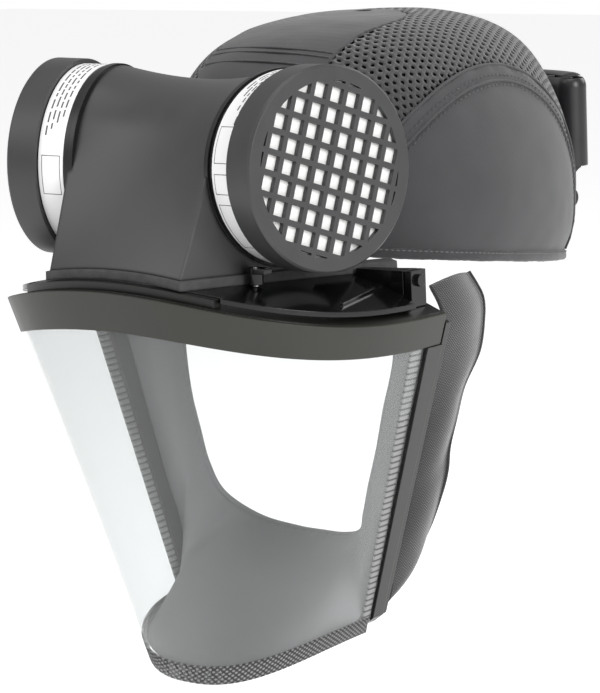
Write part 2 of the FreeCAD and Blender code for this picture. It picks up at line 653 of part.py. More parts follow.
def make_soft_parts():
    """The lining with the face opening in it, and the fleece cape outside it."""
    sides = [visor_point(0, drop, -2.8) for drop in (0.1, 0.35, 0.6, 0.8)]
    under = [visor_point(angle, 0.935, -2.8) for angle in (0.25, 0.6, 1.0, math.pi / 2)]
    opening = [Vector(71, -79, -20), Vector(70, -80, -45), Vector(65, -83, -70), Vector(60, -83, -90),
               Vector(54, -83, -110), Vector(47, -79, -126), Vector(34, -66, -140), Vector(16, -57, -146),
               Vector(0, -55, -147)]
    keep("face_seal", shaped("face_seal", soft_skirt(sides + under, opening, backwards)))
    hang = Vector(0, 6.6, -2.2)
    rear = [Vector(96, -37, -24), Vector(97, -39, -30), Vector(98.5, -46, -43), Vector(94.5, -55, -60),
            Vector(90, -57, -78), Vector(86.5, -57.5, -91), Vector(84.5, -57, -103), Vector(80.5, -56.5, -115),
            Vector(71, -54.5, -134), Vector(62, -56, -150), Vector(56, -63.5, -162), Vector(48, -70, -172),
            Vector(24, -78, -181), Vector(0, -80, -183)]
    front = [visor_point(0, drop, -5.2) + hang for drop in (0.1, 0.35, 0.6, 0.8, 0.92)]
    front += [visor_point(angle, 0.95, -6.5) + Vector(0, 5, -2.5) for angle in (0.42, 0.7, 1.05, math.pi / 2)]
    keep("cape", shaped("cape", soft_skirt(front, rear, outwards)))


def make_peak():
    """The stiff peak with its upstand, ribs and air outlet, and the arms that carry the visor."""
    slab = arch_slab(-size("peak_thick"), 0)
    notch = Part.makeBox(123, 200, 200, Vector(-61.5, -320, -100)).cut(plan_prism(brow_outline(6.8)))
    outline = plan_prism(brow_outline(4)).cut(notch)
    hollow = Part.Face(Part.Wire([Part.Ellipse(Vector(0, -3, -150), 106.5, 85).toShape()]))
    hollow.rotate(Vector(0, -3, -150), Vector(0, 0, 1), 90)
    hollow = hollow.extrude(Vector(0, 0, 300))
    outlet = Part.makeBox(30, 22, 60, Vector(-15, -168, -10))
    plate = outline.common(slab).cut(hollow).cut(outlet)
    for side in (1, -1):
        corner = Part.makeBox(60, 60, 200, Vector(0, 0, -100))
        corner.rotate(Vector(), Vector(0, 0, 1), 45)
        corner.translate(Vector(side * 106, -96, 0) + Vector(0, -6, 0))
        hook_space = Part.makeBox(20, 18, 60, Vector(97.6 if side > 0 else -117.6, -109, -40))
        plate = plate.cut(corner).cut(hook_space)
    upstand = cap_form(-3.2, -12).cut(cap_form(-1.3, -14)).common(
        Part.makeBox(100, 60, 60, Vector(-50, -130, 0)))
    upstand = upstand.cut(arch_slab(-60, -size("peak_thick"))).cut(lead_passages())
    ribs = []
    for start, end in ((Vector(82, -184, 0), Vector(70, -117, 0)), (Vector(94, -153, 0), Vector(86.4, -111, 0))):
        run = end - start
        bar = Part.makeBox(run.Length, 1.8, 60, Vector(0, -0.9, -30))
        bar.rotate(Vector(), Vector(0, 0, 1), math.degrees(math.atan2(run.y, run.x)))
        bar.translate(start)
        ribs += [bar, bar.mirror(Vector(), Vector(1, 0, 0))]
    tab = Part.makeCylinder(4, 60, Vector(80, -175, -30))
    ribs += [tab, tab.mirror(Vector(), Vector(1, 0, 0))]
    raised = Part.makeCompound(ribs).common(arch_slab(-0.2, 1.8))
    plate = plate.fuse(upstand).fuse(raised)
    keep("peak_plate", shaped("peak_plate", biggest(plate)))
    arm = Part.Face(Part.makePolygon([Vector(*point) for point in (
        (69.5, -108.5, -20), (69.5, -103.2, -20), (90, -98, -20), (97, -95, -20), (97, -107, -20),
        (90, -107, -20), (69.5, -108.5, -20))])).extrude(Vector(0, 0, 26.5)).cut(arch_slab(-60, 0.02))
    pin = Part.makeCylinder(size("pin_radius"), 12, hinge_centre() + Vector(-6, 0, 0), Vector(1, 0, 0))
    pair("visor_arm", shaped("visor_arm", arm.fuse(pin)))
    hook = Part.makeBox(4, 12, 18, Vector(98, -107, -11.5)).cut(arch_slab(-60, -4.48)).cut(
        Part.makeCylinder(size("pin_radius") + 0.05, 40, hinge_centre() + Vector(-20, 0, 0), Vector(1, 0, 0)))
    pair("temple_hook", shaped("temple_hook", hook))


def hinge_centre():
    return Vector(size("hinge_x"), size("hinge_y"), size("hinge_z"))


def make_latches():
    """The two turn-buttons that hold the blower's flange down on the peak."""
    spot = Vector(size("latch_x"), size("latch_y"), 0)
    button = padded("latch", "XY_Plane", [("-4.6", "-2.6"), ("0", "-4"), ("8", "-3"), ("8", "3"), ("0", "4"),
                                         ("-4.6", "2.6")], "2.6")
    boss = cylinder("latch_boss", "4", "8", "-5.4")
    bore = cylinder("latch_bore", "pin_radius / 2 + 0.05", "20", "-10")
    place = Placement(spot + Vector(0, 0, 12.4), Rotation())
    pair("latch", moved("latch_piece", cut("latch_cut", fuse("latch_mass", button, boss), bore), place))
    pin = cylinder("latch_pin", "pin_radius / 2", "9.6", "-6.4")
    pair("latch_pin", moved("latch_stud", pin, place))


# Battery


def pack_sector(inner, outer, low, high, half_angle):
    """A curved block round the back of the cap, with rounded ends."""
    centre = Vector(0, size("pack_centre"), low)
    arc = []
    for radius in (outer, inner):
        arc.append([centre + Vector(math.sin(angle) * radius, math.cos(angle) * radius, 0)
                    for angle in (math.radians(half_angle) * part for part in (-1, 0, 1))])
    (a, b, c), (d, e, f) = arc
    mid = (inner + outer) / 2
    edges = [Part.Arc(a, b, c).toShape(), Part.Arc(f, e, d).toShape()]
    bulge = (outer - inner) / 2
    for sign, first, last in ((1, c, f), (-1, d, a)):
        turn = math.radians(half_angle) * sign
        tip = centre + Vector(math.sin(turn) * mid, math.cos(turn) * mid, 0)
        tip += Vector(math.cos(turn) * sign, -math.sin(turn) * sign, 0) * bulge
        edges.append(Part.Arc(first, tip, last).toShape())
    face = Part.Face(Part.Wire(Part.__sortEdges__(edges)))
    return face.extrude(Vector(0, 0, high - low))


def holder_foot(inner, outer, high, half_angle):
    """The holder's foot: a waisted profile turned part of the way round the back of the cap."""
    outline = [Vector(inner, 0, high), Vector(outer, 0, high), Vector(outer, 0, high - 2)]
    waist = Part.Arc(Vector(outer, 0, high - 2), Vector(outer - 5, 0, high - 8.5), Vector(outer - 4.5, 0, 15))
    toe = Part.Arc(Vector(outer - 4.5, 0, 15), Vector(outer - 3.4, 0, 6), Vector(outer - 8, 0, 3.5))
    lines = [Part.makeLine(a, b) for a, b in zip(outline, outline[1:])]
    closing = [Part.makeLine(Vector(outer - 8, 0, 3.5), Vector(inner, 0, 3.5)),
               Part.makeLine(Vector(inner, 0, 3.5), outline[0])]
    face = Part.Face(Part.Wire(lines + [waist.toShape(), toe.toShape()] + closing))
    face.rotate(Vector(), Vector(0, 0, 1), 90 - half_angle)
    foot = face.revolve(Vector(), Vector(0, 0, 1), 2 * half_angle)
    foot.translate(Vector(0, size("pack_centre"), 0))
    return foot


def make_battery():
    """The battery at the back: a curved pack of upright cells on a holder, with its buttons."""
    low, high, half = size("pack_low"), size("pack_high"), size("pack_half_angle")
    inner, outer, wall = size("pack_inner"), size("pack_outer"), 1.8
    case = pack_sector(inner, outer, low, high, half)
    top = [edge for edge in case.Edges if abs(edge.BoundBox.ZMin - high) < 0.01 and edge.BoundBox.ZLength < 0.01]
    case = case.makeFillet(7.8, top)
    hollow = pack_sector(inner + wall, outer - wall, low - 1, high - wall, half)
    keep("battery_case", shaped("battery_case", case.cut(hollow)))
    cells = []
    middle = (inner + outer) / 2
    for number in range(-2, 3):
        turn = math.radians(number * 13.4)
        spot = Vector(math.sin(turn) * middle, size("pack_centre") + math.cos(turn) * middle, low + 2.5)
        cells.append(Part.makeCylinder(5.2, high - low - 6, spot))
    bus = pack_sector(middle - 3, middle + 3, low + 2.0, low + 3.0, half - 6)
    keep("battery_cells", shaped("battery_cells", bus.multiFuse(cells)))
    foot = holder_foot(inner + 1, outer - 1, low - 0.35, half - 4)
    back = pack_sector(inner - 12, inner - 1.2, 4, 66, half - 14)
    web = pack_sector(inner - 12, inner + 4, 4, low - 0.35, half - 14)
    cap_space = cap_form(-0.4, -12)
    socket = Part.makeCylinder(5.0, 12, Vector(0, 144, 15), Vector(0, 1, 0))
    press = Part.makeCylinder(3.6, 12, Vector(20, 141.5, 15), Vector(0, 1, 0))
    holder = foot.fuse(back).fuse(web).cut(cap_space).cut(socket).cut(press).cut(lead_passages())
    keep("battery_holder", shaped("battery_holder", biggest(holder)))
    floor = pack_sector(inner + wall, outer - wall, low + 0.02, low + 1.9, half)
    keep("battery_floor", shaped("battery_floor", floor))
    button = Part.makeCylinder(4.7, 4.6, Vector(0, 146, 15), Vector(0, 1, 0))
    keep("power_button", shaped("power_button", button))
    release = Part.makeCylinder(3.3, 4.3, Vector(20, 143.5, 15), Vector(0, 1, 0))
    keep("release_button", shaped("release_button", release))


def rounded_path(points):
    """Straight runs joined by tangent arcs that are as large as their runs allow."""
    edges, last = [], points[0]
    for before, corner, after in zip(points, points[1:], points[2:]):
        back, ahead = (before - corner), (after - corner)
        shorter = min(back.Length, ahead.Length)
        back.normalize(), ahead.normalize()
        setback = 0.45 * shorter
        start, end = corner + back * setback, corner + ahead * setback
        half_turn = (math.pi - back.getAngle(ahead)) / 2
        radius = setback / math.tan(half_turn)
        bisector = (back + ahead).normalize()
        centre = corner + bisector * math.hypot(radius, setback)
        middle = centre - bisector * radius
        edges += [Part.makeLine(last, start), Part.Arc(start, middle, end).toShape()]
        last = end
        print("lead arc radius", round(radius, 1))
    edges.append(Part.makeLine(last, points[-1]))
    return Part.Wire(edges)


def make_lead():
    """The flat lead's round core, from the battery over the crown to the control board."""
    x, inset, centre = size("lead_x"), size("lead_inset"), size("cap_centre_y")
    over = []
    for side in (1, -1):
        for share, level, shift in cap_levels[3:8]:
            front = min(size("cap_rear_reach") * share - shift, size("cap_front_limit") + centre)
            reach = size("cap_rear_reach") * share + shift if side > 0 else front
            across = x / (size("cap_half_width") * share - inset)
            y = centre + side * (reach - inset) * math.sqrt(1 - across ** 2)
            z = (size("cap_height") - inset) * level - size("rim_slope") * (y + 8) * (1 - level)
            over.append(Vector(x, y, z))
        if side > 0:
            over[0].z += 4
    rear, front = over[:5], over[:4:-1]
    start = [Vector(x, 135, size("lead_low")), Vector(x, rear[0].y + 0.5, size("lead_low"))]
    end = [Vector(x, front[-1].y, size("lead_high")), Vector(x, -128, size("lead_high")),
           Vector(x, -158, 50), Vector(x, -181.4, 44)]
    path = rounded_path(start + rear + front[:-1] + end)
    section = Part.Wire([Part.makeCircle(size("lead_radius"), start[0], Vector(0, 1, 0))])
    tube = path.makePipeShell([section], True, True)
    print("lead length", round(path.Length), "volume against its section",
          round(tube.Volume / (math.pi * size("lead_radius") ** 2 * path.Length), 3))
    keep("power_lead", shaped("power_lead", tube))


make_filter_cap()
make_filter_body()
make_filter_inside()
make_seats()
make_housing()
make_fan()
make_electronics()
make_cap()
make_visor()
make_soft_parts()
make_peak()
make_latches()
make_battery()
make_lead()

doc.recompute()
for item in doc.Objects:
    if "Invalid" in item.State or "Error" in item.State:
        raise RuntimeError(f"{item.Label} did not compute: {item.State}")
os.makedirs("parts", exist_ok=True)
for label, item in pieces.items():
    shape = item.Shape
    if shape.isNull() or not shape.isValid():
        raise RuntimeError(f"{label} has a bad shape")
    shape.exportStep(f"parts/{label}.step")
    print(label, len(shape.Solids), round(shape.Volume))
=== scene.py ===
import math
import random

import bmesh
import bpy
from mathutils import Matrix, Vector, noise


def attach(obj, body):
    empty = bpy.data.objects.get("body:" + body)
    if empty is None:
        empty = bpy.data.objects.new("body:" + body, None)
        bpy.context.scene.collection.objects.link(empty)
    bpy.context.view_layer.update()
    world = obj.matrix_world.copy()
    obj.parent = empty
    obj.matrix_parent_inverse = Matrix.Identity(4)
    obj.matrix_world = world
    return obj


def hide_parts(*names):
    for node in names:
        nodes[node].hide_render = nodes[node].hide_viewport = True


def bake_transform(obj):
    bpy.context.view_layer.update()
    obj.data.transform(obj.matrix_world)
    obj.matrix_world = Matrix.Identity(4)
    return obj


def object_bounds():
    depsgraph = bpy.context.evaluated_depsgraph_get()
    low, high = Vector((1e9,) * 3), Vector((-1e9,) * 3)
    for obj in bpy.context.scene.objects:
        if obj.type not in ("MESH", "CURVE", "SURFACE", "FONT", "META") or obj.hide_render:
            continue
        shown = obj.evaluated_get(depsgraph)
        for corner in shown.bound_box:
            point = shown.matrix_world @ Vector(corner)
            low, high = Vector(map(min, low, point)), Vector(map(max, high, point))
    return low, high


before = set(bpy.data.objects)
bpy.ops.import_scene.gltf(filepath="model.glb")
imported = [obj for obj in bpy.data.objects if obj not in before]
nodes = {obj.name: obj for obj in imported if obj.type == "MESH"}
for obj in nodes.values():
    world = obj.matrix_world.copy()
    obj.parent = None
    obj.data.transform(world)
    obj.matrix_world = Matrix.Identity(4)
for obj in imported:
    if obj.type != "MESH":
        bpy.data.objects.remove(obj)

cadBox = [list(corner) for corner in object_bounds()]
mm = 0.001
print("frame loaded:", len(nodes), "nodes")


# camera and light

cameraSetup = {
    "lookAt": (-0.0236, -0.0384, -0.0515),
    "azimuth": 38.5,      # degrees round from straight in front, towards the wearer's left
    "elevation": 10,
    "roll": 2.3,
    "distance": 1.605,
    "lens": 155.9,
}


def placeCamera(setup):
    turn, rise, roll = (math.radians(setup[word]) for word in ("azimuth", "elevation", "roll"))
    back = Vector((math.sin(turn) * math.cos(rise), -math.cos(turn) * math.cos(rise), math.sin(rise)))
    flatRight = Vector((math.cos(turn), math.sin(turn), 0))
    flatUp = back.cross(flatRight)
    right = flatRight * math.cos(roll) - flatUp * math.sin(roll)
    up = flatUp * math.cos(roll) + flatRight * math.sin(roll)
    data = bpy.data.cameras.new("camera")
    data.lens = setup["lens"]
    data.clip_start = 0.05
    camera = bpy.data.objects.new("camera", data)
    bpy.context.scene.collection.objects.link(camera)
    place = Matrix((right, up, back)).transposed().to_4x4()
    place.translation = Vector(setup["lookAt"]) + back * setup["distance"]
    camera.matrix_world = place
    bpy.context.scene.camera = camera


lightSetup = [
    # name, place, aimed at, width, power
    ("keySoftbox", (-0.9, -1.7, 1.3), (0, -0.1, 0), 1.1, 10),
    ("topSoftbox", (0.2, -0.3, 1.7), (0, -0.05, 0), 1.2, 12),
    ("sideSoftbox", (1.9, -0.5, 0.7), (0, -0.1, 0), 1.0, 24),
    ("rimSoftbox", (0.5, 1.6, 0.8), (0, 0, 0), 0.9, 8),
]


def addLights(setup):
    for name, place, target, width, power in setup:
        data = bpy.data.lights.new(name, "AREA")
        data.size, data.energy = width, power
        lamp = bpy.data.objects.new(name, data)
        lamp.location = place
        lamp.rotation_euler = (Vector(target) - Vector(place)).to_track_quat("-Z", "Y").to_euler()
        bpy.context.scene.collection.objects.link(lamp)


placeCamera(cameraSetup)
addLights(lightSetup)
print("camera and", len(lightSetup), "lights placed")


# small material helpers

def hexToLinear(code):
    parts = [int(code[i:i + 2], 16) / 255 for i in (1, 3, 5)]
    return [p / 12.92 if p <= 0.04045 else ((p + 0.055) / 1.055) ** 2.4 for p in parts] + [1]


def addNode(tree, kind, values=None, links=None, **settings):
    node = tree.nodes.new(kind)
    for name, value in settings.items():
        setattr(node, name, value)
    for name, value in (values or {}).items():
        node.inputs[name].default_value = value
    for name, (source, output) in (links or {}).items():
        tree.links.new(source.outputs[output], node.inputs[name])
    return node


def newMaterial(name, colour, roughness, **shader):
    material = bpy.data.materials.new(name)
    material.use_nodes = True
    tree = material.node_tree
    bsdf = tree.nodes["Principled BSDF"]
    bsdf.inputs["Base Color"].default_value = hexToLinear(colour)
    bsdf.inputs["Roughness"].default_value = roughness
    for word, value in shader.items():
        bsdf.inputs[word.replace("_", " ")].default_value = value
    return material, tree, bsdf


def placeOn(tree):
    return addNode(tree, "ShaderNodeTexCoord"), "Object"


def ramp(tree, source, stops, output=0):
    node = addNode(tree, "ShaderNodeValToRGB", links={"Fac": (source, output)})
    for i, (at, colour) in enumerate(stops):
        stop = node.color_ramp.elements[i] if i < 2 else node.color_ramp.elements.new(at)
        stop.position, stop.color = at, hexToLinear(colour)
    return node


def bumpFrom(tree, bsdf, source, strength, depth, output=0, under=None):
    links = {"Height": (source, output)}
    if under:
        links["Normal"] = (under, 0)
    bump = addNode(tree, "ShaderNodeBump", {"Strength": strength, "Distance": depth}, links)
    tree.links.new(bump.outputs[0], bsdf.inputs["Normal"])
    return bump


def greyRange(tree, source, low, high, output=0):
    return addNode(tree, "ShaderNodeMapRange", {"To Min": low, "To Max": high}, {"Value": (source, output)})


# moulded plastics: a spark-eroded mould leaves a fine even grain; thin patches catch more light

def mouldedPlastic(name, setup):
    material, tree, bsdf = newMaterial(name, setup["colour"], setup["roughness"], IOR=1.5)
    coords = placeOn(tree)
    grain = addNode(tree, "ShaderNodeTexNoise", {"Scale": 1 / (setup["grain"] * mm), "Detail": 2}, {"Vector": coords})
    cloudy = addNode(tree, "ShaderNodeTexNoise", {"Scale": 1 / (setup["cloud"] * mm), "Detail": 4}, {"Vector": coords})
    shade = ramp(tree, cloudy, [(0.3, setup["colour"]), (0.75, setup["worn"])])
    tree.links.new(shade.outputs[0], bsdf.inputs["Base Color"])
    rough = greyRange(tree, cloudy, setup["roughness"] - 0.06, setup["roughness"] + 0.08)
    tree.links.new(rough.outputs[0], bsdf.inputs["Roughness"])
    rounded = None
    if setup["edge"]:
        rounded = addNode(tree, "ShaderNodeBevel", {"Radius": setup["edge"] * mm}, samples=6)
    bumpFrom(tree, bsdf, grain, setup["bump"], 0.05 * mm, under=rounded)
    return material


# colour where clean and where rubbed, roughness, grain and cloud sizes and edge rounding in mm
plastics = {
    "mouldedAbs": {"colour": "#373738", "worn": "#3c3c3d", "roughness": 0.4, "grain": 0.45, "cloud": 22,
                   "bump": 0.3, "edge": 2.2},
    "filterAbs": {"colour": "#343435", "worn": "#39393a", "roughness": 0.42, "grain": 0.4, "cloud": 18,
                  "bump": 0.35, "edge": 0.7},
    # filter seat and body: near black, much darker than the housing. This is painted shade that stands in for the
    # shadow in the gap between filter and housing, over the seat's own dark plastic.
    "seatAbsPaintedShade": {"colour": "#0d0d0e", "worn": "#121213", "roughness": 0.35, "grain": 0.5, "cloud": 15,
                "bump": 0.3, "edge": 0.4},
    "innerNylon": {"colour": "#121213", "worn": "#19191a", "roughness": 0.55, "grain": 0.5, "cloud": 15,
                   "bump": 0.3, "edge": 0},
    "shellNylon": {"colour": "#050505", "worn": "#080808", "roughness": 0.7, "grain": 0.6, "cloud": 25,
                   "bump": 0.3, "edge": 0},
    "glossPolycarbonate": {"colour": "#0b0b0c", "worn": "#101011", "roughness": 0.14, "grain": 1.2, "cloud": 30,
                           "bump": 0.08, "edge": 0.5},
    "channelPvc": {"colour": "#11110f", "worn": "#191917", "roughness": 0.3, "grain": 0.6, "cloud": 12,
                   "bump": 0.2, "edge": 0.5},
    "batteryAbs": {"colour": "#1f1f21", "worn": "#262628", "roughness": 0.3, "grain": 0.5, "cloud": 16,
                   "bump": 0.2, "edge": 0.8},
}
made = {name: mouldedPlastic(name, setup) for name, setup in plastics.items()}


# rubbers: the gasket is rough sponge, the brow band a smooth satin strip with an olive cast

rubbers = {
    "spongeRubber": {"colour": "#3f3f40", "worn": "#505051", "roughness": 0.85, "grain": 0.9, "cloud": 5,
                     "bump": 1.0, "edge": 1.4},
    "bandRubber": {"colour": "#1b1c15", "worn": "#22231b", "roughness": 0.38, "grain": 0.5, "cloud": 25,
                   "bump": 0.15, "edge": 0.8},
}
made.update({name: mouldedPlastic(name, setup) for name, setup in rubbers.items()})


# paper and felt: long fibres lie across each other, so light spreads and nothing shines

def fibrePaper(name, colour, fibre):
    material, tree, bsdf = newMaterial(name, colour, 0.9)
    fibres = addNode(tree, "ShaderNodeTexNoise", {"Scale": 1 / (fibre * mm), "Detail": 6, "Distortion": 1.5},
                     {"Vector": placeOn(tree)})
    bumpFrom(tree, bsdf, fibres, 0.4, 0.15 * mm)
    return material


made["prefilterFelt"] = fibrePaper("prefilterFelt", "#f4f4f2", 0.8)
made["filterPaper"] = fibrePaper("filterPaper", "#e9e9e4", 0.6)


def labelFilm():
    material, tree, bsdf = newMaterial("labelFilm", "#f2f2f2", 0.35, IOR=1.49)
    ripple = addNode(tree, "ShaderNodeTexNoise", {"Scale": 1 / (9 * mm)}, {"Vector": placeOn(tree)})
    bumpFrom(tree, bsdf, ripple, 0.06, 0.3 * mm)
    return material


made["labelFilm"] = labelFilm()


# clear polycarbonate sheet: colourless, with a hard skin that mirrors a little more where it turns away

def clearSheet():
    material, tree, bsdf = newMaterial("clearPolycarbonate", "#f5f6f6", 0.04, IOR=1.58)
    clear = addNode(tree, "ShaderNodeBsdfTransparent", {"Color": hexToLinear("#f6f7f7")})
    facing = addNode(tree, "ShaderNodeLayerWeight", {"Blend": 0.25})
    share = addNode(tree, "ShaderNodeMapRange", {"To Min": 0.015, "To Max": 0.3}, {"Value": (facing, "Facing")})
    mix = addNode(tree, "ShaderNodeMixShader", links={0: (share, 0), 1: (clear, 0), 2: (bsdf, 0)})
    tree.links.new(mix.outputs[0], tree.nodes["Material Output"].inputs["Surface"])
    return material


made["clearPolycarbonate"] = clearSheet()


def brushedSteel():
    material, tree, bsdf = newMaterial("turnedSteel", "#a8a8aa", 0.32, Metallic=1)
    rings = addNode(tree, "ShaderNodeTexWave", {"Scale": 1 / (1.5 * mm), "Distortion": 2}, {"Vector": placeOn(tree)})
    bumpFrom(tree, bsdf, rings, 0.1, 0.02 * mm)
    return material


made["turnedSteel"] = brushedSteel()


def circuitLaminate():
    material, tree, bsdf = newMaterial("circuitLaminate", "#0c3a1f", 0.35)
    tracks = addNode(tree, "ShaderNodeTexBrick", {"Scale": 1 / (8 * mm), "Color1": hexToLinear("#0c3a1f"),
                     "Color2": hexToLinear("#0f4525"), "Mortar": hexToLinear("#2f7a4a")}, {"Vector": placeOn(tree)})
    tree.links.new(tracks.outputs["Color"], bsdf.inputs["Base Color"])
    return material


made["circuitLaminate"] = circuitLaminate()


# cloths

def wovenCloth(name, setup):
    material, tree, bsdf = newMaterial(name, setup["colour"], 0.88, Sheen_Weight=setup["sheen"], Sheen_Roughness=0.5)
    coords = placeOn(tree)
    pitch = setup["thread"] * mm
    warp = addNode(tree, "ShaderNodeTexWave", {"Scale": 0.5 / pitch, "Distortion": 1.2, "Detail": 1},
                   {"Vector": coords}, bands_direction="DIAGONAL")
    weft = addNode(tree, "ShaderNodeTexWave", {"Scale": 0.5 / pitch, "Distortion": 1.2, "Detail": 1},
                   {"Vector": coords}, bands_direction="Z")
    weave = addNode(tree, "ShaderNodeMath", links={0: (warp, 1), 1: (weft, 1)}, operation="MULTIPLY")
    dust = addNode(tree, "ShaderNodeTexNoise", {"Scale": 1 / (30 * mm), "Detail": 6}, {"Vector": coords})
    shade = ramp(tree, dust, [(0.3, setup["colour"]), (0.75, setup["worn"])])
    tree.links.new(shade.outputs[0], bsdf.inputs["Base Color"])
    bumpFrom(tree, bsdf, weave, setup["bump"], 0.25 * mm)
    return material


cloths = {
    "capTwill": {"colour": "#363638", "worn": "#3e3e40", "thread": 0.9, "sheen": 0.25, "bump": 0.4},
    "rimTape": {"colour": "#303032", "worn": "#3c3c3e", "thread": 1.1, "sheen": 0.3, "bump": 0.7},
    "airMesh": {"colour": "#313132", "worn": "#3c3c3d", "thread": 0.8, "sheen": 0.35, "bump": 0.6},
    "fleece": {"colour": "#121214", "worn": "#1c1c1e", "thread": 1.4, "sheen": 0.5, "bump": 0.9},
    "liningCloth": {"colour": "#848485", "worn": "#8a8a8b", "thread": 0.4, "sheen": 0.1, "bump": 0.12},
    "hookTape": {"colour": "#2a2a2a", "worn": "#3a3a3a", "thread": 1.6, "sheen": 0.1, "bump": 1.0},
    "paleThread": {"colour": "#5f5f60", "worn": "#707071", "thread": 0.5, "sheen": 0.1, "bump": 0.3},
    "sweatFoam": {"colour": "#26262a", "worn": "#303034", "thread": 1.3, "sheen": 0.3, "bump": 0.8},
}
made.update({name: wovenCloth(name, setup) for name, setup in cloths.items()})
# hook and loop tapes: moulded or knitted rows that show as pale dots and ribs through the lens

def loopTape():
    material, tree, bsdf = newMaterial("loopTape", "#3c3c3c", 0.8)
    flat = addNode(tree, "ShaderNodeTexCoord")
    turned = addNode(tree, "ShaderNodeMapping", links={"Vector": (flat, "UV")})
    turned.inputs["Rotation"].default_value = (0, 0, math.radians(45))
    dots = addNode(tree, "ShaderNodeTexVoronoi", {"Scale": 1 / 1.9, "Randomness": 0.1}, {"Vector": (turned, 0)})
    shade = ramp(tree, dots, [(0.12, "#8c8c8c"), (0.45, "#2f2f2f")])
    tree.links.new(shade.outputs[0], bsdf.inputs["Base Color"])
    bumpFrom(tree, bsdf, shade, 0.8, 0.3 * mm)
    return material


def ribTape():
    material, tree, bsdf = newMaterial("ribTape", "#6c6c6c", 0.7)
    flat = addNode(tree, "ShaderNodeTexCoord")
    split = addNode(tree, "ShaderNodeSeparateXYZ", links={"Vector": (flat, "UV")})
    teeth = addNode(tree, "ShaderNodeMath", {1: 1.9}, {0: (split, "Y")}, operation="PINGPONG")
    shade = ramp(tree, teeth, [(0.25, "#4a4a4a"), (0.9, "#8f8f8f")])
    tree.links.new(shade.outputs[0], bsdf.inputs["Base Color"])
    bumpFrom(tree, bsdf, teeth, 0.6, 0.4 * mm)
    return material


made["loopTape"] = loopTape()
made["ribTape"] = ribTape()

made["labelInk"] = mouldedPlastic("labelInk", {"colour": "#5a5a5c", "worn": "#6a6a6c", "roughness": 0.4,
                                               "grain": 0.6, "cloud": 6, "bump": 0.05, "edge": 0})
print(len(made), "materials made")


finishes = {
    "mouldedAbs": ["blower_front_cover", "blower_rear_cover"],
    "filterAbs": ["filter_cap_*"],
    # painted shade: the filter seat and body are darkened to near black to stand in for the shadow in the gap at the
    # housing
    "seatAbsPaintedShade": ["filter_body_*", "filter_seat_*"],
    "spongeRubber": ["base_gasket", "filter_gasket_*"],
    "labelFilm": ["filter_label_*"],
    "prefilterFelt": ["prefilter_*"],
    "filterPaper": ["filter_media_*"],
    "innerNylon": ["fan_scroll", "impeller", "motor_bracket", "headband", "warning_sounder"],
    "shellNylon": ["cap_shell"],
    "turnedSteel": ["motor_shaft", "motor_can", "latch_pin_*"],
    "circuitLaminate": ["control_board"],
    "glossPolycarbonate": ["peak_plate", "visor_arm_*", "latch_left", "latch_right", "temple_hook_*"],
    "clearPolycarbonate": ["lens"],
    "bandRubber": ["brow_band", "power_lead"],
    "channelPvc": ["side_channel_*", "visor_frame", "clip_bar"],
    "hookTape": ["side_strip_*", "hem_strip"],
    "capTwill": ["cover_tongue", "cover_side_*"],
    "rimTape": ["rim_binding"],
    "airMesh": ["cover_mesh"],
    "sweatFoam": ["sweatband", "crown_pad"],
    "liningCloth": ["face_seal"],
    "fleece": ["cape"],
    "batteryAbs": ["battery_case", "battery_floor", "battery_holder", "battery_cells", "release_button", "power_button"],
}


def finishNodes():
    for name, patterns in finishes.items():
        for pattern in patterns:
            targets = [pattern.replace("*", side) for side in ("left", "right")] if "*" in pattern else [pattern]
            for target in targets:
                for slot in nodes[target].material_slots:
                    slot.material = made[name]


finishNodes()
print("frame nodes finished")


# mesh helpers

def addMesh(name, points, faces, material, body, smooth=True):
    mesh = bpy.data.meshes.new(name)
    mesh.from_pydata([Vector(p) * mm for p in points], [], faces)
    mesh.polygons.foreach_set("use_smooth", [smooth] * len(faces))
    mesh.materials.append(made[material])
    piece = bpy.data.objects.new(name, mesh)
    bpy.context.scene.collection.objects.link(piece)
    if body:
        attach(piece, body)
    return piece


def thicken(piece, thick, offset=-1):
    solid = piece.modifiers.new("thickness", "SOLIDIFY")
    solid.thickness, solid.offset = thick * mm, offset
    solid.use_even_offset = True
    return piece


def tube(name, path, radius, material, body, closed=False, sides=10, flat=1.0):
    # a round cord along a path of points; flat below 1 squashes it
    points, faces = [], []
    count = len(path)
    for i, here in enumerate(path):
        before = path[i - 1] if i or closed else here
        after = path[(i + 1) % count] if i < count - 1 or closed else here
        along = (after - before).normalized()
        side = along.cross(Vector((0.03, 0.02, 1))).normalized()
        rise = side.cross(along)
        for k in range(sides):
            turn = 2 * math.pi * k / sides
            points.append(here + (side * math.cos(turn) * flat + rise * math.sin(turn)) * radius)
    for i in range(count if closed else count - 1):
        for k in range(sides):
            j, m = (i + 1) % count, (k + 1) % sides
            faces.append((i * sides + k, i * sides + m, j * sides + m, j * sides + k))
    if not closed:
        faces.append(tuple(reversed(range(sides))))
        faces.append(tuple(range((count - 1) * sides, count * sides)))
    return addMesh(name, points, faces, material, body)


def evenly(path, pitch):
    # points along a path at one spacing
    spots, left = [path[0]], pitch
    for start, end in zip(path, path[1:]):
        run = (end - start).length
        at = left
        while at <= run:
            spots.append(start.lerp(end, at / run))
            at += pitch
        left = at - run
    return spots


